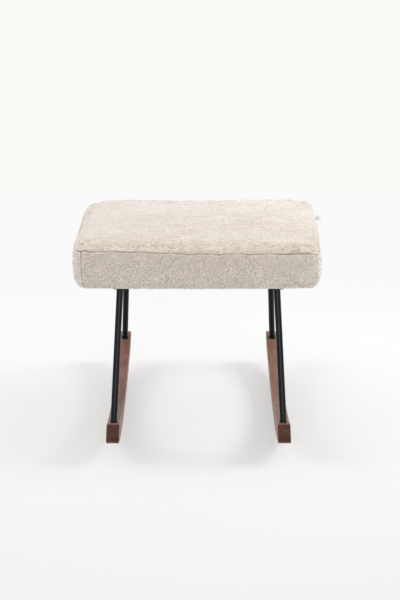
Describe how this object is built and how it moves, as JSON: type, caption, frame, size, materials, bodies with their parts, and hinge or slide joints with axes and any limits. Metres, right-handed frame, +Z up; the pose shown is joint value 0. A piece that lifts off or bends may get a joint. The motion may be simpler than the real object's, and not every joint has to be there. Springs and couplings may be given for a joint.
{
  "type": "rocking footstool",
  "caption": "Padded plush footstool on splayed steel tube legs that stand on two curved wooden rockers, so the whole stool rocks front to back.",
  "frame": {"origin": "on the floor, at the middle of the stool, where the rockers' soles touch at rest", "axes": "+Z up; X across the seat; Y from front (-Y) to rear (+Y) along the rockers"},
  "size_m": [0.5342, 0.5634, 0.455],
  "materials": {
    "plush": "long-pile cream plush, brushed",
    "tag_ribbon": "plain woven white ribbon",
    "wadding": "polyester fibre wadding",
    "foam": "open-cell upholstery foam",
    "plywood": "raw plywood",
    "lining": "thin black non-woven",
    "black_steel": "glossy black powder coat",
    "black_screws": "black oxide",
    "zinc_steel": "bright zinc plate",
    "walnut": "satin walnut stain and lacquer"
  },
  "bodies": {
    "root": {"cover_top": "plush", "cover_front": "plush", "cover_rear": "plush", "cover_left": "plush", "cover_right": "plush", "side_tag": "tag_ribbon", "seat_wadding": "wadding", "seat_foam": "foam", "seat_board": "plywood", "tee_nuts": "zinc_steel", "underside_lining": "lining", "rail_left": "black_steel", "rail_right": "black_steel", "rail_bolts": "black_screws", "rail_washers": "black_screws", "leg_front_left": "black_steel", "leg_front_right": "black_steel", "leg_rear_left": "black_steel", "leg_rear_right": "black_steel", "plug_front_left": "black_steel", "plug_front_right": "black_steel", "plug_rear_left": "black_steel", "plug_rear_right": "black_steel", "rocker_left": "walnut", "rocker_right": "walnut", "rocker_bolts": "zinc_steel", "rocker_washers": "zinc_steel"}
  },
  "joints": []
}
